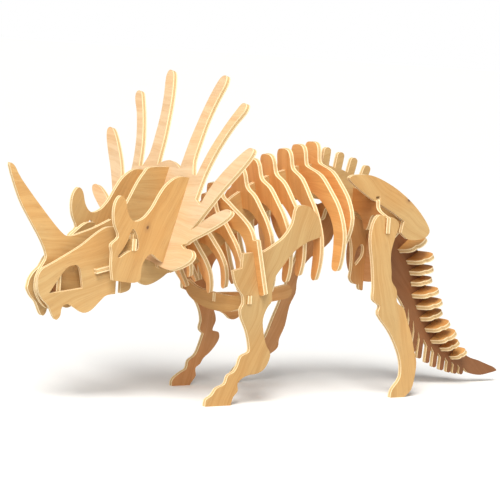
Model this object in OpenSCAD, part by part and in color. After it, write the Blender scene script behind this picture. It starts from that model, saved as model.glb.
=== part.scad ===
// Slot-together plywood skeleton of a horned, frilled dinosaur.
// Flat laser-cut pieces, pushed together at slots, standing on four feet.
// X runs along the body (head at -X, tail at +X), Y to its right side, Z up.
// The origin is on the ground under the middle of the body.

/* [Plywood] */
// Thickness of every plywood piece
ply = 3; // [2.8:0.05:3.1]
// Gap left on each side of a piece in its slot
fit = 0.08; // [0.03:0.01:0.15]

/* [Head] */
// Distance of each skull side from the middle of the head, at the jaw hinge
skull_side_y = 12; // [11:0.25:13]
// How much each skull side turns in towards the beak, degrees
skull_turn = 7; // [5:0.5:8]
// Distance of each cheek from the middle of the head
cheek_y = 24; // [22:0.5:25]
// How far the frill tips back from upright, degrees
frill_lean = 16.2; // [14:0.2:18]

/* [Body] */
// Height of the tabs that stand on top of the ribs
rib_tab = 14; // [11:0.5:15]
// Distance of each front leg from the middle of the body
front_leg_y = 33; // [32.5:0.25:34]
// Distance of each hind leg from the middle of the body
hind_leg_y = 35; // [34:0.25:36]

/* [Hidden] */
// How far a tab stands out past the piece that it goes through
proud = 1;
wood = [0.84, 0.69, 0.46];
frill_foot = [-81, 119];
shoulder_at = [-39.9, 112.3];
shoulder_lean = -14;
// Depth of the shoulder rib's arms below its foot
shoulder_deep = 48;
chest_x = -37;
hip_x = 61;
hip_rear_x = 84.5;
brow_x = -113.2;
throat_x = -115;
// Height at which the throat plate and the skull sides meet in their laps
throat_lap = 76;
snout_x = -150;
pubis_x = 74.5;
// x of the upright line about which each skull side is turned
jaw_x = -120;
// Middle [x, z], length and tilt of the jaw plate
jaw_mid = [-125.6, 79];
jaw_length = 10.2;
jaw_tilt = 13;
// How far the outlines are moved so that the origin is under the middle of the body
middle_x = 3.4;

// ---- outline helpers ----

// One point on a smooth curve through b and c, with a and d as its neighbours
function blend(a, b, c, d, t) =
    0.5 * (2 * b + (c - a) * t + (2 * a - 5 * b + 4 * c - d) * t * t
        + (3 * b - a - 3 * c + d) * t * t * t);

// Smooth closed outline through the points p; a point given twice is a corner
function smooth(p, steps) = [
    for (i = [0 : len(p) - 1])
        let (n = len(p), b = p[i], c = p[(i + 1) % n])
        if (b != c)
            let (a = p[(i + n - 1) % n], d = p[(i + 2) % n])
            for (k = [0 : steps - 1])
                blend(a, b, c, d, k / steps)];

// Whole outline of a piece with equal halves, from its half with u above zero
function both_halves(h) = concat(h,
    [for (i = [len(h) - 1 : -1 : 0]) if (h[i][0] > 0.001) [-h[i][0], h[i][1]]]);

// Points of a round-ended tab w wide and l long on an outline, turned clockwise about its foot
function round_tab(foot, turn, w, l) = [
    for (q = concat([[-w / 2, 0], [-w / 2, 0]],
        [for (a = [180 : -45 : 0]) [w / 2 * cos(a), l - w / 2 + w / 2 * sin(a)]],
        [[w / 2, 0], [w / 2, 0]]))
        foot + [q[0] * cos(turn) + q[1] * sin(turn), q[1] * cos(turn) - q[0] * sin(turn)]];

// Upright plate that runs along the body at the given y
module side_plate(y) {
    translate([0, y, 0])
        rotate([90, 0, 0])
            translate([0, 0, -ply / 2])
                linear_extrude(ply) children();
}

// Plate across the body with its foot at at=[x, z], tipped back by lean degrees
module cross_plate(at, lean) {
    translate([at[0], 0, at[1]])
        rotate([0, lean, 0])
            rotate([90, 0, 90])
                translate([0, 0, -ply / 2])
                    linear_extrude(ply) children();
}

// Jaw plate reaching half to each side, made bigger by gap all round
module jaw_bar(half, gap) {
    translate([jaw_mid[0], 0, jaw_mid[1]])
        rotate([0, -jaw_tilt, 0])
            cube([jaw_length + 2 * gap, 2 * half, ply + 2 * gap], center = true);
}

// Room for a cross plate, from v=low to v=high, cut out of a side plate
module cross_room(at, lean, low, high) {
    translate([at[0], 0, at[1]])
        rotate([0, lean, 0])
            translate([-ply / 2 - fit, -60, low])
                cube([ply + 2 * fit, 120, high - low]);
}

// Slot in a cross plate for a side plate at u, from v=low to v=high; across is the room it takes
module side_slot(u, low, high, across = ply) {
    translate([u - across / 2 - fit, low])
        square([across + 2 * fit, high - low]);
}

// x of the front face of the frill at height z
function frill_front(z) =
    frill_foot[0] + (z - frill_foot[1]) * tan(frill_lean) - (ply / 2 + fit) / cos(frill_lean);

// ---- head ----

// Middle plate of the skull: nose horn, beak, crest and the tongue into the neck
module skull_center() {
    outline = [[-183, 136.5], [-180, 136.5], [-175, 129], [-161, 113], [-148, 99.5], [-142, 96.5],
        [-134, 98.5], [-124, 102], [-112, 108], [-105, 115], [-98.5, 127], [-94, 133.5],
        [-90, 137], [frill_front(137.5), 137.5], [frill_front(137.5), 137.5],
        [frill_front(109), 109], [frill_front(109), 109], [-81, 107], [-77, 98],
        [-74, 92], [-74, 92], [-74, 74.5], [-74, 74.5], [-79, 71], [-85, 68.2], [-90, 67.8],
        [-94, 71], [-96.5, 78], [-104, 77], [-115, 72], [-126, 66], [-138, 61], [-147, 57], [-152, 54.5],
        [-157.5, 58], [-161.5, 65], [-161.5, 73], [-158.5, 79.5], [-156, 85], [-160, 94],
        [-168, 106], [-175.5, 118]];
    difference() {
        side_plate(0)
            polygon(smooth(outline, 3));
        jaw_bar(20, fit);
        cross_room([snout_x, 0], 0, 50, 70);
        cross_room([brow_x, 0], 0, 94.5, 120);
        cross_room([throat_x, 0], 0, 60, 78);
    }
}

// One side of the snout and jaw, with its window; side is -1 left, 1 right
module skull_side(side) {
    // The left beak is a little fuller than the right one
    beak = side < 0 ? [[-44.6, 71], [-44.4, 75], [-42, 78.8], [-37.3, 81.4]]
        : [[-43.6, 68], [-42.6, 71.5], [-40, 75], [-36, 78.5]];
    outline = concat(beak, [[-31.4, 84.8], [-19.5, 92],
        [-10, 99.5], [-4, 103], [1.5, 103.2], [1.5, 103.2], [2.2, 92], [4, 82], [11.5, 75],
        [13.2, 71], [12.3, 67], [7, 65], [-1.5, 63.8], [-5.5, 60.5], [-11, 55], [-16, 53.6],
        [-20.5, 56], [-25.5, 58.7], [-29, 56.8], [-29.8, 52], [-32, 49.6], [-34.2, 51.5],
        [-37.3, 57.5], [-41, 61], [-43.8, 65.5]]);
    window = [[-37.5, 64.8], [-37.5, 64.8], [-30, 65.7], [-16.8, 67.8], [-16.8, 67.8],
        [-18.7, 77.5], [-20.5, 80.7], [-23.5, 81], [-28.5, 78.3]];
    difference() {
        translate([jaw_x, side * skull_side_y, 0])
            rotate([0, 0, side * skull_turn])
                side_plate(0)
                    difference() {
                        polygon(smooth(outline, 3));
                        polygon(smooth(window, 3));
                    }
        jaw_bar(20, fit);
        cross_room([throat_x, 0], 0, 55, throat_lap);
    }
}

// Cheek plate with the brow horn in front and the eye opening
module cheek(y) {
    outline = [[-123.5, 99], [-126.5, 106], [-127.5, 113], [-126.5, 119], [-123.5, 122.5],
        [-120.5, 120], [-118.5, 113], [-115.5, 108.8], [-112, 107.8], [-107, 110], [-102, 115.5],
        [-98.5, 121.5], [-94.5, 127.5], [-90, 131.5], [-85, 133.8], [frill_front(133.5), 133.5],
        [frill_front(133.5), 133.5], [frill_front(84), 84], [frill_front(84), 84], [-97, 86.5],
        [-100.5, 89], [-104, 87.5], [-107, 82], [-107.5, 74.5], [-112, 72.5], [-119, 73.2],
        [-125.5, 74], [-125.5, 74], [-127, 82], [-127.2, 90], [-128, 94.5]];
    eye = [[-123.6, 87.6], [-120, 92.6], [-117.2, 97.5], [-116, 101.5], [-114.4, 103.6],
        [-112.4, 102], [-110.8, 98.5], [-109.8, 94], [-110.8, 91.2], [-114.3, 91.2], [-118, 89.6],
        [-121.5, 87.4]];
    difference() {
        side_plate(y)
            difference() {
                polygon(smooth(outline, 3));
                polygon(smooth(eye, 3));
            }
        cross_room([brow_x, 0], 0, 91 - fit, 97.7 + fit);
    }
}

// Spiked neck frill, straddling the tongue of the middle skull plate
module frill() {
    spikes = [[0, 23], [7, 21.5], [12.5, 19], [12.5, 19], [13.2, 27], [14, 36], [16, 47], [18.8, 59],
        [22.5, 70], [26, 76], [30.5, 77], [31.8, 72.5], [28.2, 62], [25.2, 50], [24, 37], [23.8, 25],
        [27.5, 17], [27.5, 17], [31.5, 16.5], [31.5, 16.5], [36, 31], [43.5, 46], [51, 57.5],
        [55, 62], [59, 61.5], [58.5, 57], [51.5, 48], [44, 34], [39, 18], [37.5, 3],
        [37.5, 3], [44, 0], [44, 0], [49, 11], [57, 21.5], [67, 31.5], [74.5, 37], [79, 36],
        [77, 30.5], [69.5, 21], [60, 10], [50, -4], [42, -15.5], [42, -15.5], [48.5, -11.5],
        [57, -5.5], [66, -1], [72.5, 0.8], [76, -0.8], [73.5, -4.5], [66, -9.5], [55, -15.5],
        [45, -20.5], [42, -23], [42, -23], [38, -24.5], [42, -26.5], [42, -26.5], [48, -26],
        [52, -29], [50, -33], [42, -37.5], [33, -40], [24, -39.5], [14, -38], [6, -37],
        [6, -37], [0, -37]];
    cross_plate(frill_foot, frill_lean)
        difference() {
            polygon(smooth(both_halves(spikes), 3));
            side_slot(0, -45, -8.5);
        }
}

// Small plate across the snout, seen through the windows
module snout_cross() {
    half = skull_side_y - 32 * tan(skull_turn) - ply / 2 - 0.2;
    cross_plate([snout_x, 0], 0)
        difference() {
            translate([-half, 62.6])
                square([2 * half, 19]);
            side_slot(0, 70, 90);
        }
}

// Small tilted plate through both skull sides behind the windows
module jaw_cross() {
    jaw_bar(skull_side_y + ply / 2 + 1.6, 0);
}

// Plate that carries both cheeks at the eyes
module brow_cross() {
    half = cheek_y + ply / 2 + 0.5;
    cross_plate([brow_x, 0], 0)
        difference() {
            union() {
                translate([-half, 91])
                    square([2 * half, 6.7]);
                translate([-cheek_y + ply / 2 + fit, 87.5])
                    square([2 * cheek_y - ply - 2 * fit, 13]);
            }
            side_slot(0, 80, 94.5);
        }
}

// Plate between the cheeks, lapped with the middle and both sides of the skull
module throat_cross() {
    half = cheek_y - ply / 2 - fit;
    side_y = skull_side_y + (throat_x - jaw_x) * tan(skull_turn);
    side_room = ply / cos(skull_turn) + ply * tan(skull_turn);
    cross_plate([throat_x, 0], 0)
        difference() {
            translate([-half, 73.5])
                square([2 * half, 9.5]);
            side_slot(0, 78, 90);
            for (side = [-1, 1])
                side_slot(side * side_y, throat_lap, 90, side_room);
        }
}

// ---- neck, backbone and ribs ----

// Foot on the backbone [x, z], lean, half width, height of the arch, depth of the arm
// ends, and how far out the ends are as a share of the half width
rib_plan = [
    [[-53, 100.5], -19, 22, 35, 35, 0.69],
    [[-44, 109], -16, 24.5, 45, 45, 0.69],
    [shoulder_at, shoulder_lean, 35, 55, 55, 1],
    [[-24, 124.5], -12, 28, 50, 61, 0.69],
    [[-14, 130], -12, 31, 56, 60, 0.69],
    [[-3.5, 133], -11, 30.8, 59, 59, 0.69],
    [[8.5, 136.5], -9.5, 32.6, 66, 65, 0.69],
    [[18.5, 139.2], -6.5, 44.5, 60, 60, 0.79],
    [[28, 141], -2.5, 42.5, 50, 50, 0.69]];
neck_plan = [
    [[-70, 92.5], -20, 14, 20, 20, 0.69],
    [[-61.5, 95.5], -20, 18.5, 33, 33, 0.69]];
// Depth of the half-lap between a rib and the backbone
lap = 5;

// Arched rib with a tab on top
module rib_at(plan, tab) {
    w = plan[2];
    arch = plan[3];
    deep = plan[4];
    end = plan[5];
    half = [[0, tab], [4.5, tab - 0.7], [6.5, tab - 4], [7, 4], [9, 1],
        [0.45 * w + 2, -0.05 * arch], [0.72 * w, -0.2 * arch], [0.9 * w, -0.36 * arch],
        [w, -0.58 * arch], [(0.7 + 0.33 * end) * w, -0.8 * deep],
        [(end + 0.08) * w, -0.97 * deep], [end * w, -deep], [(end - 0.06) * w, -0.96 * deep],
        [(0.41 + 0.46 * end) * w, -0.78 * deep], [0.79 * w, -0.58 * arch],
        [0.69 * w, -0.42 * arch], [0.5 * w, -0.3 * arch], [0.28 * w, -0.23 * arch],
        [0, -0.2 * arch - 1]];
    cross_plate(plan[0], plan[1])
        difference() {
            polygon(smooth(both_halves(half), 3));
            side_slot(0, -30, -lap);
        }
}

// Rib whose long straight arms drop into the forks of the front legs
module shoulder_rib() {
    edge = front_leg_y + ply / 2 + 5;
    end = -shoulder_deep;
    half = [[0, rib_tab + 3], [4.5, rib_tab + 2.3], [6.5, rib_tab - 1], [8.5, 8.5], [13, 6], [19, 2.3],
        [26, -1.7], [31.5, -5.7], [34.5, -9.7], [35.5, -14.2], [35.5, -14.2], [edge, -14.2],
        [edge, -14.2], [edge, end + 1], [edge, end + 1], [edge - 2, end], [edge - 2, end],
        [edge - 8, end], [edge - 8, end], [30, -39], [27.5, -30], [27, -23], [26.5, -17],
        [22.8, -11.7], [17, -9.5], [9, -8.5], [0, -8.5]];
    cross_plate(shoulder_at, shoulder_lean)
        difference() {
            polygon(smooth(both_halves(half), 3));
            side_slot(0, -30, -lap);
        }
}

// Foot [x, z], turn and length of the tabs behind the ribs
comb_plan = [[[37, 141], 6, 10.8], [[47, 138.8], 10, 10.3], [[57, 135.8], 14, 10.2],
    [[67, 131.8], 20, 9.8]];

// Middle plate of the body with the notches for the ribs and the comb over the hips
module backbone() {
    comb = [for (c = comb_plan) each round_tab(c[0], c[1], 5, c[2])];
    outline = concat(
        [[-73.8, 91.5], [-73.8, 91.5], [-66, 94.2], [-58, 97.2], [-50, 103], [-43, 109.8],
            [-33, 118.6], [-23, 125], [-14, 130], [-4, 134], [6, 137], [15, 139.5], [27, 141.3]],
        comb,
        [[76, 126.5], [84, 120], [89, 113], [89, 107], [82, 103.4], [82, 103.4], [76, 103.4],
            [76, 103.4], [54, 113.5], [54, 113.5], [40, 118.5], [25, 120], [10, 117.5], [-5, 112],
            [-18, 104.5], [-30, 96], [-42, 87], [-53, 80.5], [-63, 77.5], [-73.8, 74.5],
            [-73.8, 74.5]]);
    difference() {
        side_plate(0) polygon(smooth(outline, 3));
        for (plan = concat(rib_plan, neck_plan))
            cross_room(plan[0], plan[1], -lap - fit, 25);
        cross_room([hip_x, 0], 0, 90, 118);
        cross_room([hip_rear_x, 0], 0, 90, 110);
    }
}

// Short strip beside the tongue of the skull and the front end of the backbone
module neck_link(y) {
    side_plate(y)
        polygon(smooth([[-82, 78], [-83, 82], [-81, 86], [-76, 87], [-71.5, 86], [-70.8, 82],
            [-71.5, 78], [-76, 77]], 3));
}

// ---- chest and front legs ----

// Crescent across the chest with a tab through each front leg
module chest_cross() {
    tip = front_leg_y + ply / 2 + proud;
    inner = front_leg_y - ply / 2 - fit;
    half = [[0, 62.4], [12, 62.4], [22, 63.4], [inner, 66.5], [inner, 66.5], [inner, 65.3],
        [inner, 65.3], [tip, 65.3], [tip, 65.3], [tip, 60.3], [tip, 60.3], [inner, 60.3],
        [inner, 60.3], [inner, 59.7], [inner, 59.7], [27, 56.5], [18, 53.5], [8, 52], [0, 51.8]];
    cross_plate([chest_x, 0], 0)
        difference() {
            polygon(smooth(both_halves(half), 3));
            side_slot(0, 57, 70);
        }
}

// Breastbone under the ribs
module sternum() {
    outline = [[-38.4, 53], [-38.4, 53], [-38.4, 62], [-38.4, 62], [-34, 62.5], [-20, 62.5],
        [-6, 63.5], [6, 65], [15, 66.5],
        [18, 63], [15.5, 58.5], [5, 56.5], [-8, 54.5], [-16, 52], [-21, 47], [-26, 46], [-30, 49],
        [-35, 51.5]];
    difference() {
        side_plate(0) polygon(smooth(outline, 3));
        cross_room([chest_x, 0], 0, 40, 57);
    }
}

// Upper part of every front leg: the steps in front of the slot and the shoulder blade
shoulder_front = [[-32, 91.3], [-32, 91.3], [-42.8, 90], [-42.8, 90], [-43, 81.5], [-43, 81.5],
    [-48.6, 80], [-49, 79], [-47, 73], [-43.5, 68], [-41, 65], [-40.3, 60.5]];
shoulder_back = [[-20.5, 66], [-19.5, 75], [-14, 82.5], [-6, 91.5], [3, 97], [11.6, 99.8], [12, 103],
    [10.2, 111], [3, 118], [-6, 118], [-8.5, 108], [-14, 100], [-22, 94.5], [-28.5, 91], [-28.5, 91]];

// Front leg with slots for the shoulder rib and the chest plate
module front_leg(y, front_edge, sole, back_edge) {
    difference() {
        side_plate(y)
            difference() {
                polygon(smooth(concat(shoulder_front, front_edge, sole, back_edge, shoulder_back), 3));
                translate([chest_x - ply / 2 - fit, 60.3 - fit])
                    square([ply + 2 * fit, 5 + 2 * fit]);
            }
        cross_room(shoulder_at, shoulder_lean, -shoulder_deep - fit, 0);
    }
}

module front_leg_left() {
    front_leg(-front_leg_y,
        [[-42, 57], [-41, 52], [-37, 44.5], [-34.5, 37], [-34.2, 31.5], [-39.5, 29], [-41.5, 23.5],
            [-44, 19.8], [-48, 17.8], [-50, 12.8], [-55.5, 10.5], [-58.5, 6.5], [-62.5, 4]],
        [[-63, 0], [-63, 0], [-45, 0], [-45, 0]],
        [[-43.5, 5], [-40.5, 8.5], [-41, 13], [-37.5, 16.2], [-33, 17.8], [-27.5, 18.4], [-22.5, 21],
            [-19.5, 26], [-19, 30.5], [-22.5, 36], [-25, 44], [-25.8, 51], [-23.5, 57.5],
            [-20.3, 61.5]]);
}

module front_leg_right() {
    front_leg(front_leg_y,
        [[-35.5, 58.5], [-29.8, 52.1], [-26.5, 46], [-25.2, 40.1], [-26, 36.4], [-25.4, 33.9], [-23, 32],
            [-23, 32], [-23.6, 29.8], [-26.3, 22], [-28.6, 18.3], [-32.8, 15.3], [-34, 10.4],
            [-38.2, 8], [-43.5, 4]],
        [[-44, 0], [-44, 0], [-31, 0], [-31, 0]],
        [[-28.7, 3.2], [-26.8, 6], [-27.4, 10.7], [-24.3, 13.1], [-22, 16.7], [-17.4, 20.4], [-13.6, 24.7],
            [-11.2, 29], [-12, 32.8], [-15.9, 33.5], [-16.4, 35.4], [-14.6, 40], [-15.6, 44.8],
            [-18.5, 50], [-20, 55], [-19.5, 61]]);
}

// ---- hips and hind legs ----

// Plate across the hips that carries the hind legs, the ilia and the pubis plates
module hip_cross() {
    tip = hind_leg_y + ply / 2 + proud;
    half = [[0, 127], [10, 127], [18, 126.5], [22, 124], [25.8, 121], [25.8, 121], [26.5, 117], [30, 114.5],
        [tip, 112], [tip, 112],
        [tip, 102.5], [tip, 102.5], [32, 102.8], [29, 105], [27, 110], [24, 112.5], [21, 110.5],
        [19, 105], [17, 102.5], [14.8, 104], [13, 108], [8, 112], [0, 113]];
    cross_plate([hip_x, 0], 0)
        difference() {
            polygon(smooth(both_halves(half), 3));
            side_slot(0, 118, 140);
        }
}

// Plate across the back of the hips, behind the hind legs
module hip_rear_cross() {
    inner = cheek_y - ply / 2 - fit;
    half = [[0, 116], [8, 115], [16, 111], [inner, 108], [inner, 108], [inner, 101.5],
        [inner, 101.5], [18, 100.5], [14, 97], [9, 92], [4, 90], [0, 90]];
    cross_plate([hip_rear_x, 0], 0)
        difference() {
            polygon(smooth(both_halves(half), 3));
            side_slot(0, 110, 120);
            side_slot(0, 80, 103);
        }
}

// Leaf-shaped hip blade
module ilium(y) {
    outline = [[38.5, 134], [40, 136.5], [46, 137.2], [54, 137], [62, 134.8], [72, 130.5], [80, 126],
        [88, 120.5], [96, 113.5], [102, 106.5], [103.8, 102], [100.5, 98.5], [93, 97], [86.5, 97.8],
        [81.5, 101.5], [81.5, 101.5], [83, 109], [83, 109], [72, 115], [58, 121.5], [46, 128.5]];
    difference() {
        side_plate(y) polygon(smooth(outline, 3));
        cross_room([hip_x, 0], 0, 100, 124.1);
    }
}

// Pubis plate under the backbone, with an opening and two prongs
module pubis() {
    outline = [[54, 113.4], [54, 113.4], [56.5, 104], [61, 95], [62.6, 88], [63.2, 80.4], [63, 74.1],
        [62.6, 70.3], [64.8, 67.1], [68.1, 66.1], [69.6, 66.6], [69.6, 66.6], [70, 63.6],
        [71.9, 62.3], [74, 63.7], [76.2, 69.5], [78, 76], [78.5, 84], [78.6, 90],
        [76, 103.3], [76, 103.3]];
    opening = [[69.8, 91.6], [71.6, 89], [71, 84.1], [67.8, 80], [65.9, 78.2], [64.7, 80.4],
        [64.8, 85.4], [66.8, 89.8]];
    difference() {
        side_plate(0)
            difference() {
                polygon(smooth(outline, 3));
                polygon(smooth(opening, 3));
            }
        cross_room([pubis_x, 0], 0, 60, 80);
    }
}

// Plate across the pubis, seen through its opening
module pubis_cross() {
    half = [[0, 98], [9, 98], [15, 95], [18, 89], [18, 80], [15, 73], [9, 69], [3, 68.2], [0, 68.2]];
    cross_plate([pubis_x, 0], 0)
        difference() {
            polygon(smooth(both_halves(half), 3));
            side_slot(0, 80, 100);
        }
}

hip_top = [[61, 112.6], [54.5, 113.6], [50.5, 108], [49.5, 98]];
hip_back = [[70.3, 108], [66, 112]];

// Hind leg with an open slot at the top for the hip plate
module hind_leg(y, front_edge, sole, back_edge) {
    difference() {
        side_plate(y)
            polygon(smooth(concat(hip_top, front_edge, sole, back_edge, hip_back), 3));
        cross_room([hip_x, 0], 0, 102.3, 130);
    }
}

module hind_leg_left() {
    hind_leg(-hind_leg_y,
        [[52.3, 84], [54.3, 70], [54.6, 61.5], [60, 57.5], [59.3, 52], [68.5, 42], [74.8, 33],
            [79.6, 22.5], [80.2, 12.5], [74.5, 5]],
        [[73.5, 0], [73.5, 0], [84.5, 0], [84.5, 0]],
        [[89.5, 4.5], [91.6, 13], [92, 21.5], [90, 28], [86, 40], [82, 48.5], [79, 55.5], [73, 60],
            [72.3, 67], [67.8, 73], [67, 79], [65.5, 90], [68, 100.5]]);
}

module hind_leg_right() {
    hind_leg(hind_leg_y,
        [[47, 84], [41.5, 69], [36, 53], [30.5, 40], [26.5, 30], [21, 21.5], [14.5, 17],
            [8, 12.5], [2.5, 7.5], [0, 3]],
        [[0, 0], [0, 0], [7.5, 0], [7.5, 0]],
        [[8.8, 4.5], [12.5, 10], [22, 14.5], [30, 17.5], [35.5, 21.5], [36.2, 27], [40, 35.5], [42.5, 48],
            [46.5, 56], [47, 64], [49.5, 71], [56.7, 79], [65.4, 84.2], [72.5, 91], [73.5, 100]]);
}

// ---- tail ----

// Rings down the tail: [x, z] of the middle, lean, half width and half height
tail_plan = [
    [[105.5, 91.8], 52, 15.5, 7.6],
    [[112, 83], 60, 17, 6],
    [[114.8, 75.2], 67, 14.2, 5.6],
    [[116.5, 68], 68, 11.6, 5.4],
    [[119, 60.8], 66, 15.4, 6.4],
    [[122.7, 53.5], 63, 16, 6],
    [[126.5, 46], 60, 12, 6],
    [[131.3, 39], 57, 15, 6],
    [[137, 32], 54, 15, 6.6],
    [[143.8, 26], 51, 12, 5],
    [[152, 20], 48, 10.8, 4.4]];
// Foot [x, z] and length of the teeth under the tail, from its tip to the hips
tooth_plan = [[[159.5, 10.3], 4.7], [[154.3, 12.2], 6], [[149, 14.2], 7], [[142.9, 17.4], 8.5],
    [[136.7, 20.8], 9.8], [[130.7, 25], 11], [[124, 30], 12.8], [[119, 35.2], 13.6],
    [[114.2, 42.6], 11.5], [[109.3, 50.4], 9]];

// Middle plate of the tail with teeth on its lower edge
module tail_plate() {
    teeth = [for (t = tooth_plan) each round_tab(t[0], 184, 3.4, t[1])];
    outline = concat(
        [[79, 101], [79, 101], [91, 103], [102, 101.5], [110, 93.5], [117.5, 84], [120.7, 76],
            [122.2, 69], [125, 62], [128.5, 55.5], [132.5, 49], [137, 42], [142, 35.5],
            [148, 29.5], [154.5, 24], [160.5, 19.5], [166, 16.6], [173.1, 14.6], [180.3, 12],
            [186.6, 9.8], [189.4, 8], [189.4, 7], [184.3, 5.9], [175.8, 4.7], [167, 6],
            [163, 8]],
        teeth,
        [[104.5, 55], [98.5, 62], [94.5, 69], [92, 75], [89.5, 80.5], [86, 85], [79, 88.5], [79, 88.5]]);
    difference() {
        side_plate(0) polygon(smooth(outline, 3));
        for (s = tail_plan)
            cross_room(s[0], s[1], -fit, 25);
    }
}

// Lobed ring that straddles the tail plate
module tail_ring(s) {
    w = s[2];
    h = s[3];
    half = [[0, h], [0.3 * w, 1.05 * h], [0.6 * w, 1.1 * h], [0.88 * w, h], [w, 0.55 * h],
        [0.97 * w, 0.05 * h], [0.84 * w, -0.15 * h], [0.8 * w, -0.5 * h], [0.6 * w, -0.77 * h],
        [0.35 * w, -0.9 * h], [2.5, -h], [0, -h]];
    cross_plate(s[0], s[1])
        difference() {
            polygon(smooth(both_halves(half), 3));
            side_slot(0, -20, 0);
        }
}

// ---- named pieces ----

// A piece in its place over the origin, in the colour of the wood
module placed() {
    color(wood)
        translate([-middle_x, 0, 0])
            children();
}

placed() skull_center();
placed() skull_side(-1);  // skull_left
placed() skull_side(1);  // skull_right
placed() cheek(-cheek_y);  // cheek_left
placed() cheek(cheek_y);  // cheek_right
placed() frill();
placed() snout_cross();
placed() jaw_cross();
placed() brow_cross();
placed() throat_cross();
placed() neck_link(-ply - fit);  // neck_link_left
placed() neck_link(ply + fit);  // neck_link_right
placed() backbone();
placed() rib_at(neck_plan[0], 8);  // neck_rib_1
placed() rib_at(neck_plan[1], 11);  // neck_rib_2
placed() rib_at(rib_plan[0], rib_tab);  // rib_1
placed() rib_at(rib_plan[1], rib_tab);  // rib_2
placed() shoulder_rib();  // rib_3
placed() rib_at(rib_plan[3], rib_tab);  // rib_4
placed() rib_at(rib_plan[4], rib_tab);  // rib_5
placed() rib_at(rib_plan[5], rib_tab);  // rib_6
placed() rib_at(rib_plan[6], rib_tab);  // rib_7
placed() rib_at(rib_plan[7], rib_tab);  // rib_8
placed() rib_at(rib_plan[8], rib_tab);  // rib_9
placed() chest_cross();
placed() sternum();
placed() front_leg_left();
placed() front_leg_right();
placed() hip_cross();
placed() hip_rear_cross();
placed() ilium(-cheek_y);  // ilium_left
placed() ilium(cheek_y);  // ilium_right
placed() pubis();
placed() pubis_cross();
placed() hind_leg_left();
placed() hind_leg_right();
placed() tail_plate();
placed() tail_ring(tail_plan[0]);  // tail_ring_1
placed() tail_ring(tail_plan[1]);  // tail_ring_2
placed() tail_ring(tail_plan[2]);  // tail_ring_3
placed() tail_ring(tail_plan[3]);  // tail_ring_4
placed() tail_ring(tail_plan[4]);  // tail_ring_5
placed() tail_ring(tail_plan[5]);  // tail_ring_6
placed() tail_ring(tail_plan[6]);  // tail_ring_7
placed() tail_ring(tail_plan[7]);  // tail_ring_8
placed() tail_ring(tail_plan[8]);  // tail_ring_9
placed() tail_ring(tail_plan[9]);  // tail_ring_10
placed() tail_ring(tail_plan[10]);  // tail_ring_11
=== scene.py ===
"""Looks of the slot-together plywood dinosaur skeleton.

Every piece is a flat 3 mm plywood plate that CAD already has in its true shape. This script
gives each plate its own veneer: grain that runs the long way of the piece, pores, bands and
pin knots on its two faces, and the three plies with their glue lines round its cut edge.
Lengths are in millimetres until they are multiplied by MM.
"""

import math

import bpy
import numpy as np
from mathutils import Matrix, Vector


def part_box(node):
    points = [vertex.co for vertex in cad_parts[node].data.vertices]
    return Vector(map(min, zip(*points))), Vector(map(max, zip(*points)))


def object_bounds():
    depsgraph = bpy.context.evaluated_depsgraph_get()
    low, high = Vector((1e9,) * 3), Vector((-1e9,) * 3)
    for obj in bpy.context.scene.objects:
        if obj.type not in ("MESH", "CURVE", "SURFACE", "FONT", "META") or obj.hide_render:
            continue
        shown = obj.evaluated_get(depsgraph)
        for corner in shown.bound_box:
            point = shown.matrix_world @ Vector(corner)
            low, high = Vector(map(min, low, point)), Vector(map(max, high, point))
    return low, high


MM = 0.001

# ---- plywood ----
CORE = 1.1  # thickness of the middle ply
GLUE = 0.11  # thickness of each glue line
ROUNDING = 0.16  # radius of the worn edges
WAVER = 0.16  # how far the glue lines wander
CORE_BLUR = 0.05  # half the width of the change between core and outer ply

# Length along the grain and width across it of what shows in the veneer
WANDER = (55, 30)
BANDS = (130, 4.2)
STREAKS = (26, 0.75)
PORES = (7, 0.24)
PATCHES = (60, 34)
WANDER_REACH = 16.0  # how far the grain is pushed aside where it wanders

# Radii from where to where the parts of a pin knot fade
KNOT_SPOT = (0.45, 1.15)
KNOT_HALO = (0.7, 3.4)
KNOT_STRETCH = 1.3  # how much longer a knot is along the grain

# Linear colours
VENEER_LIGHT = (0.54, 0.36, 0.155)
VENEER_DARK = (0.45, 0.265, 0.098)
PORE = (0.32, 0.17, 0.07)
KNOT = (0.13, 0.06, 0.03)
EDGE_OUTER = (0.88, 0.7, 0.42)
EDGE_CORE = (0.66, 0.44, 0.2)
EDGE_GLUE = (0.2, 0.09, 0.035)

# Tints of the faces. Veneers differ in colour, and these values were also matched to how each plate
# looks in the photograph, so those of the inner and far plates hold some of the shade it stands in.
SHEET = (1.0, 1.0, 1.0)
# Frill: a paler veneer, and partly a painted highlight of its strongly lit front
PALE_SHEET_AND_PAINTED_HIGHLIGHT = (1.28, 1.4, 2.0)
# Ribs: a warmer veneer, and partly painted warm bounce light and shade between the ribs
WARM_SHEET_AND_PAINTED_BOUNCE_LIGHT = (1.4, 1.12, 0.9)
# Tail rings: warmer and darker, partly painted shade that the rings cast on one another
RING_SHEET_AND_PAINTED_SHADE = (1.1, 0.9, 0.7)
SHADED_SHEET = (0.96, 0.8, 0.72)
# Far legs and inner crosses: browner, and partly painted shade of the body above them
BROWN_SHEET_AND_PAINTED_SHADE = (0.94, 0.74, 0.74)
TINTS_AND_PAINTED_LIGHT = {
    "frill": PALE_SHEET_AND_PAINTED_HIGHLIGHT,
    "hind_leg_right": BROWN_SHEET_AND_PAINTED_SHADE,
    "front_leg_right": BROWN_SHEET_AND_PAINTED_SHADE,
    # painted shade: the tail plate is darkened to about half, for the shade under the rings and hip
    "tail_plate": (0.48, 0.32, 0.3),
    "pubis": SHADED_SHEET,
    "pubis_cross": BROWN_SHEET_AND_PAINTED_SHADE,
    # painted shade: the hip and chest crosses are darkened, for the shade between the ribs and legs
    "hip_cross": (0.82, 0.6, 0.46),
    "chest_cross": (0.92, 0.76, 0.56),
    "sternum": SHADED_SHEET,
    "snout_cross": BROWN_SHEET_AND_PAINTED_SHADE,
}
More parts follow.
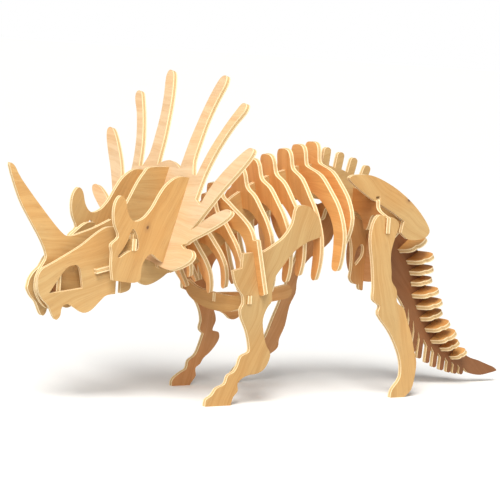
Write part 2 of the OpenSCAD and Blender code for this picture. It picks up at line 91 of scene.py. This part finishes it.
# Places of the pin knots, as shares of the plate's box along X, Y and Z
KNOTS = {
    "cheek_left": (0.47, 0.5, 0.52),
    "ilium_left": (0.72, 0.5, 0.62),
    "hind_leg_left": (0.5, 0.5, 0.2),
    "front_leg_right": (0.6, 0.5, 0.35),
    "tail_plate": (0.45, 0.5, 0.3),
    "skull_right": (0.3, 0.5, 0.6),
}
NO_KNOT = (9000.0, 9000.0, 9000.0)
SEED_STEP = 0.61  # between the noise of one plate and the next
TONE_SPREAD = 0.05  # how much plates of one tint differ in brightness
TONE_RATE = 2.4  # how fast that brightness swings with the seed
PATCH_PALE = (1.0, 1.0, 1.0)
PATCH_WARM = (1.05, 0.93, 0.8)

# ---- studio ----
FLOOR_RADIUS = 14.0  # metres
FLOOR_COLOUR = (0.84, 0.84, 0.83, 1)
KEY_TOWARD = (0.42, 0.38, -0.82)
KEY_COLOUR = (1.0, 0.985, 0.96)
FRONT_COLOUR = (1.0, 0.98, 0.94)

# ---- camera ----
# Where the camera looks, from the middle of the object, in millimetres
AIM = (-17.9, 0, -8.8)
AZIMUTH = 35
ELEVATION = 5.9
ROLL = 3.9
DISTANCE = 1333.3
LENS = 158.4


class Nodes:
    """A node tree with short calls for the nodes that this script uses."""

    def __init__(self, tree):
        self.tree = tree

    def add(self, kind, **settings):
        node = self.tree.nodes.new(kind)
        for name, value in settings.items():
            setattr(node, name, value)
        return node

    def put(self, socket, value):
        """Links value to the socket if it is another socket, or else sets it."""
        if isinstance(value, bpy.types.NodeSocket):
            self.tree.links.new(value, socket)
        else:
            socket.default_value = value

    def math(self, operation, a, b=0.0, c=0.0):
        node = self.add("ShaderNodeMath", operation=operation)
        for socket, value in zip(node.inputs, (a, b, c)):
            self.put(socket, value)
        return node.outputs[0]

    def vector(self, operation, a, b=None):
        node = self.add("ShaderNodeVectorMath", operation=operation)
        self.put(node.inputs[0], a)
        if b is not None:
            self.put(node.inputs[3 if operation == "SCALE" else 1], b)
        return node.outputs["Value" if operation in ("DOT_PRODUCT", "LENGTH") else "Vector"]

    def inverse(self, share):
        return self.math("SUBTRACT", 1.0, share)

    def stretched(self, along, side, third, length, width):
        """Coordinates for noise whose features are length along the grain and width across it."""
        node = self.add("ShaderNodeCombineXYZ")
        scaled = (self.math("DIVIDE", along, length), self.math("DIVIDE", side, width), third)
        for socket, value in zip(node.inputs, scaled):
            self.put(socket, value)
        return node.outputs[0]

    def noise(self, where, detail=2.0, roughness=0.5, distortion=0.0):
        node = self.add("ShaderNodeTexNoise")
        self.put(node.inputs["Vector"], where)
        node.inputs["Scale"].default_value = 1.0
        node.inputs["Detail"].default_value = detail
        node.inputs["Roughness"].default_value = roughness
        node.inputs["Distortion"].default_value = distortion
        return node.outputs["Fac"]

    def step(self, value, low, high):
        """0 below low, 1 above high, smooth between them."""
        node = self.add("ShaderNodeMapRange", interpolation_type="SMOOTHSTEP")
        self.put(node.inputs["Value"], value)
        node.inputs["From Min"].default_value = low
        node.inputs["From Max"].default_value = high
        return node.outputs["Result"]

    def mix(self, share, a, b, blend="MIX"):
        node = self.add("ShaderNodeMix", data_type="RGBA", blend_type=blend)
        self.put(node.inputs["Factor"], share)
        # sockets 6 and 7, and output 2, are the colour ones
        for socket, value in zip(node.inputs[6:8], (a, b)):
            self.put(socket, (*value, 1.0) if isinstance(value, tuple) else value)
        return node.outputs[2]


def veneer_of(n, along, side, sheet):
    """(colour, streaks, pores) of a face: wandering growth bands, fine streaks, pores and warm patches."""
    wander = n.noise(n.stretched(along, side, sheet, *WANDER), 2)
    bent = n.math("MULTIPLY_ADD", wander, WANDER_REACH, side)
    bands = n.noise(n.stretched(along, bent, sheet, *BANDS), 3, 0.55)
    streaks = n.noise(n.stretched(along, bent, sheet, *STREAKS), 4, 0.6)
    pores = n.step(n.noise(n.stretched(along, side, sheet, *PORES), 2, 0.5), 0.6, 0.74)
    patches = n.noise(n.stretched(along, side, sheet, *PATCHES), 2)
    figure = n.math("ADD", n.math("MULTIPLY", n.step(bands, 0.36, 0.66), 0.55),
                    n.math("MULTIPLY", n.step(streaks, 0.3, 0.72), 0.45))
    colour = n.mix(figure, VENEER_LIGHT, VENEER_DARK)
    colour = n.mix(n.math("MULTIPLY", pores, 0.34), colour, PORE)
    warm = n.mix(n.step(patches, 0.35, 0.7), PATCH_PALE, PATCH_WARM)
    return n.mix(1.0, colour, warm, "MULTIPLY"), streaks, pores


def knotted(n, colour, apart, grain, side_axis, streaks):
    """The veneer's colour with a pin knot: a dark spot with the grain deepening round it."""
    knot_along = n.math("DIVIDE", n.vector("DOT_PRODUCT", apart, grain), KNOT_STRETCH)
    knot_side = n.vector("DOT_PRODUCT", apart, side_axis)
    square = n.math("ADD", n.math("POWER", knot_along, 2.0), n.math("POWER", knot_side, 2.0))
    rough_rim = n.math("MULTIPLY", n.math("SUBTRACT", streaks, 0.5), 0.9)
    ragged = n.math("ADD", n.math("SQRT", square), rough_rim)
    halo = n.inverse(n.step(ragged, *KNOT_HALO))
    spot = n.inverse(n.step(ragged, *KNOT_SPOT))
    colour = n.mix(n.math("MULTIPLY", halo, 0.45), colour, PORE)
    return n.mix(n.math("MULTIPLY", spot, 0.9), colour, KNOT)


def cut_edge(n, place, along, side, through):
    """(colour, cuts, glue) of the rim: two pale outer plies, an end-grain core and glue between them."""
    waver = n.noise(n.stretched(along, side, n.math("DIVIDE", through, 4), 6, 6), 2)
    depth = n.math("ADD", n.math("ABSOLUTE", through),
                   n.math("MULTIPLY", n.math("SUBTRACT", waver, 0.5), WAVER))
    in_core = n.inverse(n.step(depth, CORE / 2 - CORE_BLUR, CORE / 2 + CORE_BLUR))
    off_glue = n.math("ABSOLUTE", n.math("SUBTRACT", depth, CORE / 2))
    in_glue = n.inverse(n.step(off_glue, GLUE / 2, GLUE))
    cuts = n.noise(n.stretched(along, side, n.math("DIVIDE", through, 5), 0.5, 0.5), 3, 0.6)
    fibres = n.noise(n.vector("SCALE", place, 4.5), 2, 0.6)
    in_fibres = n.math("MULTIPLY", n.step(fibres, 0.55, 0.75), in_core)
    colour = n.mix(in_core, EDGE_OUTER, EDGE_CORE)
    colour = n.mix(n.math("MULTIPLY", n.step(cuts, 0.35, 0.75), 0.32), colour, EDGE_CORE)
    colour = n.mix(n.math("MULTIPLY", in_fibres, 0.5), colour, PORE)
    return n.mix(n.math("MULTIPLY", in_glue, 0.75), colour, EDGE_GLUE), cuts, in_glue


def plywood_group():
    """One node group for every plate. Its inputs say how the plate lies and what it is cut from, and its
    tint also paints shade and highlight into some plates.
    """
    group = bpy.data.node_groups.new("plywood", "ShaderNodeTree")
    sockets = group.interface
    for name in ("Normal", "Grain", "Knot", "Tint"):
        sockets.new_socket(name, in_out="INPUT", socket_type="NodeSocketVector")
    for name in ("Middle", "Seed"):
        sockets.new_socket(name, in_out="INPUT", socket_type="NodeSocketFloat")
    sockets.new_socket("Color", in_out="OUTPUT", socket_type="NodeSocketColor")
    for name in ("Roughness", "Height"):
        sockets.new_socket(name, in_out="OUTPUT", socket_type="NodeSocketFloat")
    n = Nodes(group)
    given = n.add("NodeGroupInput").outputs
    where = n.add("ShaderNodeTexCoord").outputs
    place = n.vector("SCALE", where["Object"], 1 / MM)
    side_axis = n.vector("CROSS_PRODUCT", given["Normal"], given["Grain"])
    through = n.math("SUBTRACT", n.vector("DOT_PRODUCT", place, given["Normal"]), given["Middle"])
    along = n.vector("DOT_PRODUCT", place, given["Grain"])
    side = n.vector("DOT_PRODUCT", place, side_axis)
    upright = n.math("ABSOLUTE", n.vector("DOT_PRODUCT", where["Normal"], given["Normal"]))
    on_face = n.step(upright, 0.55, 0.85)
    on_edge = n.inverse(on_face)
    # each face of each plate has its own veneer
    sheet = n.math("MULTIPLY_ADD", n.math("SIGN", through), 31.0, n.math("MULTIPLY", given["Seed"], 97.0))
    veneer, streaks, pores = veneer_of(n, along, side, sheet)
    apart = n.vector("SUBTRACT", place, given["Knot"])
    veneer = knotted(n, veneer, apart, given["Grain"], side_axis, streaks)
    # The tint multiplies the veneer: for the far and inner plates it is partly painted shade, for the
    # frill partly a painted highlight
    veneer = n.mix(1.0, veneer, given["Tint"], "MULTIPLY")
    edge, cuts, glue = cut_edge(n, place, along, side, through)

    rough_face = n.math("MULTIPLY_ADD", streaks, 0.16, 0.52)
    rough_edge = n.math("MULTIPLY_ADD", cuts, 0.2, 0.68)
    face_height = n.math("SUBTRACT", n.math("MULTIPLY", streaks, 0.55), n.math("MULTIPLY", pores, 0.7))
    edge_height = n.math("SUBTRACT", n.math("MULTIPLY", cuts, 1.3), n.math("MULTIPLY", glue, 0.8))
    out = n.add("NodeGroupOutput").inputs
    n.put(out["Color"], n.mix(on_face, edge, veneer))
    pairs = {"Roughness": (rough_face, rough_edge), "Height": (face_height, edge_height)}
    for name, (on, off) in pairs.items():
        shares = n.math("MULTIPLY", on, on_face), n.math("MULTIPLY", off, on_edge)
        n.put(out[name], n.math("ADD", *shares))
    return group


def plate_axes(mesh):
    """(normal, long way in the plane, middle along the normal) of a flat plate, in millimetres."""
    faces = sorted(mesh.polygons, key=lambda p: p.area)
    normal = np.array(faces[-1].normal)
    points = np.array([v.co for v in mesh.vertices]) / MM
    height = points @ normal
    flat = points - points.mean(0)
    flat -= np.outer(flat @ normal, normal)
    grain = np.linalg.svd(flat, full_matrices=False)[2][0]
    return normal, grain, (height.min() + height.max()) / 2


def plywood(name, node, seed, group):
    """The material of one plate."""
    material = bpy.data.materials.new("plywood_" + name)
    material.use_nodes = True
    n = Nodes(material.node_tree)
    n.tree.nodes.clear()
    normal, grain, middle = plate_axes(node.data)
    low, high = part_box(name)
    ply = n.add("ShaderNodeGroup", node_tree=group)
    ply.inputs["Normal"].default_value = normal
    ply.inputs["Grain"].default_value = grain
    ply.inputs["Middle"].default_value = middle
    ply.inputs["Seed"].default_value = seed
    tone = 1.0 + TONE_SPREAD * math.sin(TONE_RATE * seed)
    # Ribs, rings and the listed plates get tints that are partly painted light and shade
    usual = WARM_SHEET_AND_PAINTED_BOUNCE_LIGHT if "rib_" in name else RING_SHEET_AND_PAINTED_SHADE if "ring_" in name else SHEET
    tint_and_painted_light = TINTS_AND_PAINTED_LIGHT.get(name, usual)
    ply.inputs["Tint"].default_value = [tone * c for c in tint_and_painted_light]
    knot = NO_KNOT
    if name in KNOTS:
        knot = [(a + (b - a) * share) / MM for a, b, share in zip(low, high, KNOTS[name])]
    ply.inputs["Knot"].default_value = knot
    bump = n.add("ShaderNodeBump")
    bump.inputs["Strength"].default_value = 0.7
    bump.inputs["Distance"].default_value = 0.12 * MM
    shader = n.add("ShaderNodeBsdfPrincipled")
    shader.inputs["Specular IOR Level"].default_value = 0.32
    out = n.add("ShaderNodeOutputMaterial")
    n.put(bump.inputs["Height"], ply.outputs["Height"])
    n.put(shader.inputs["Base Color"], ply.outputs["Color"])
    n.put(shader.inputs["Roughness"], ply.outputs["Roughness"])
    n.put(shader.inputs["Normal"], bump.outputs["Normal"])
    n.put(out.inputs["Surface"], shader.outputs["BSDF"])
    return material


def wear(node):
    """Rounds the sharp rim of a plate a little, as sanding does."""
    flat = node.modifiers.new("flat_faces", "DECIMATE")
    flat.decimate_type = "DISSOLVE"
    flat.angle_limit = math.radians(0.05)
    rim = node.modifiers.new("worn_rim", "BEVEL")
    rim.width = ROUNDING * MM
    rim.segments = 2
    rim.limit_method = "ANGLE"
    rim.angle_limit = math.radians(60)


def floor(radius):
    """A round pale floor, far wider than the object."""
    bpy.ops.mesh.primitive_circle_add(vertices=96, radius=radius, fill_type="NGON")
    ground = bpy.context.object
    ground.name = "floor"
    material = bpy.data.materials.new("floor")
    material.use_nodes = True
    shader = material.node_tree.nodes["Principled BSDF"]
    shader.inputs["Base Color"].default_value = FLOOR_COLOUR
    shader.inputs["Roughness"].default_value = 0.9
    shader.inputs["Specular IOR Level"].default_value = 0.1
    ground.data.materials.append(material)


def area_light(name, place, target, size, power, colour):
    lamp = bpy.data.lights.new(name, "AREA")
    lamp.shape = "DISK"
    lamp.size = size
    lamp.energy = power
    lamp.color = colour
    holder = bpy.data.objects.new(name, lamp)
    bpy.context.scene.collection.objects.link(holder)
    holder.location = Vector(place)
    holder.rotation_euler = (Vector(target) - Vector(place)).to_track_quat("-Z", "Y").to_euler()


def sun(name, toward, strength, angle, colour):
    """Even light that shines along toward."""
    lamp = bpy.data.lights.new(name, "SUN")
    lamp.energy = strength
    lamp.angle = math.radians(angle)
    lamp.color = colour
    holder = bpy.data.objects.new(name, lamp)
    bpy.context.scene.collection.objects.link(holder)
    holder.rotation_euler = Vector(toward).to_track_quat("-Z", "Y").to_euler()


def surroundings(seen, given):
    """A white surround: seen is how bright the camera finds it, given is the light it gives."""
    world = bpy.data.worlds.new("surround")
    world.use_nodes = True
    n = Nodes(world.node_tree)
    n.tree.nodes.clear()
    ray = n.add("ShaderNodeLightPath")
    back = n.add("ShaderNodeBackground")
    strength = n.math("MULTIPLY_ADD", ray.outputs["Is Camera Ray"], seen - given, given)
    back.inputs["Color"].default_value = (1, 1, 1, 1)
    n.put(back.inputs["Strength"], strength)
    out = n.add("ShaderNodeOutputWorld")
    n.put(out.inputs["Surface"], back.outputs["Background"])
    bpy.context.scene.world = world


def camera(target, azimuth, elevation, roll, distance, lens):
    """A camera distance away from target; azimuth 0 looks along +Y, and roll turns it about its view."""
    a, e, tilt = (math.radians(x) for x in (azimuth, elevation, roll))
    ahead = Vector((math.sin(a) * math.cos(e), math.cos(a) * math.cos(e), -math.sin(e)))
    level = Vector((math.cos(a), -math.sin(a), 0))
    up = level.cross(ahead)
    right = level * math.cos(tilt) + up * math.sin(tilt)
    over = up * math.cos(tilt) - level * math.sin(tilt)
    data = bpy.data.cameras.new("camera")
    data.lens = lens
    data.clip_start = 0.05
    data.clip_end = 60
    holder = bpy.data.objects.new("camera", data)
    bpy.context.scene.collection.objects.link(holder)
    turn = Matrix((right, over, -ahead)).transposed().to_4x4()
    holder.matrix_world = Matrix.Translation(Vector(target) - ahead * distance) @ turn
    bpy.context.scene.camera = holder


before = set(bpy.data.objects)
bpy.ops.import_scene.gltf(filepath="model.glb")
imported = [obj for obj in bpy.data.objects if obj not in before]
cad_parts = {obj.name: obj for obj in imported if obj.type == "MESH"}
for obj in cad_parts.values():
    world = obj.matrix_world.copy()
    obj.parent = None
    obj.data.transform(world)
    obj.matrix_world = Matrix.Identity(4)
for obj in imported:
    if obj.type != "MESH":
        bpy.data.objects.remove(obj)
cad_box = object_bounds()
low, high = cad_box

shared = plywood_group()
for number, name in enumerate(sorted(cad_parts)):
    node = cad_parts[name]
    node.data.materials.clear()
    node.data.materials.append(plywood(name, node, 1.0 + SEED_STEP * number, shared))
    wear(node)

floor(FLOOR_RADIUS)
sun("key", KEY_TOWARD, strength=3.2, angle=28, colour=KEY_COLOUR)
beside_head = (low.x - 0.3, low.y - 0.5, high.z + 0.3)
head = (low.x + 0.08, 0, 0.12)
area_light("front", beside_head, head, size=0.3, power=3.0, colour=FRONT_COLOUR)
surroundings(seen=1.0, given=0.42)
aim = (low + high) / 2 + Vector(AIM) * MM
camera(aim, AZIMUTH, ELEVATION, ROLL, DISTANCE * MM, LENS)
bpy.context.scene.view_settings.view_transform = "Standard"
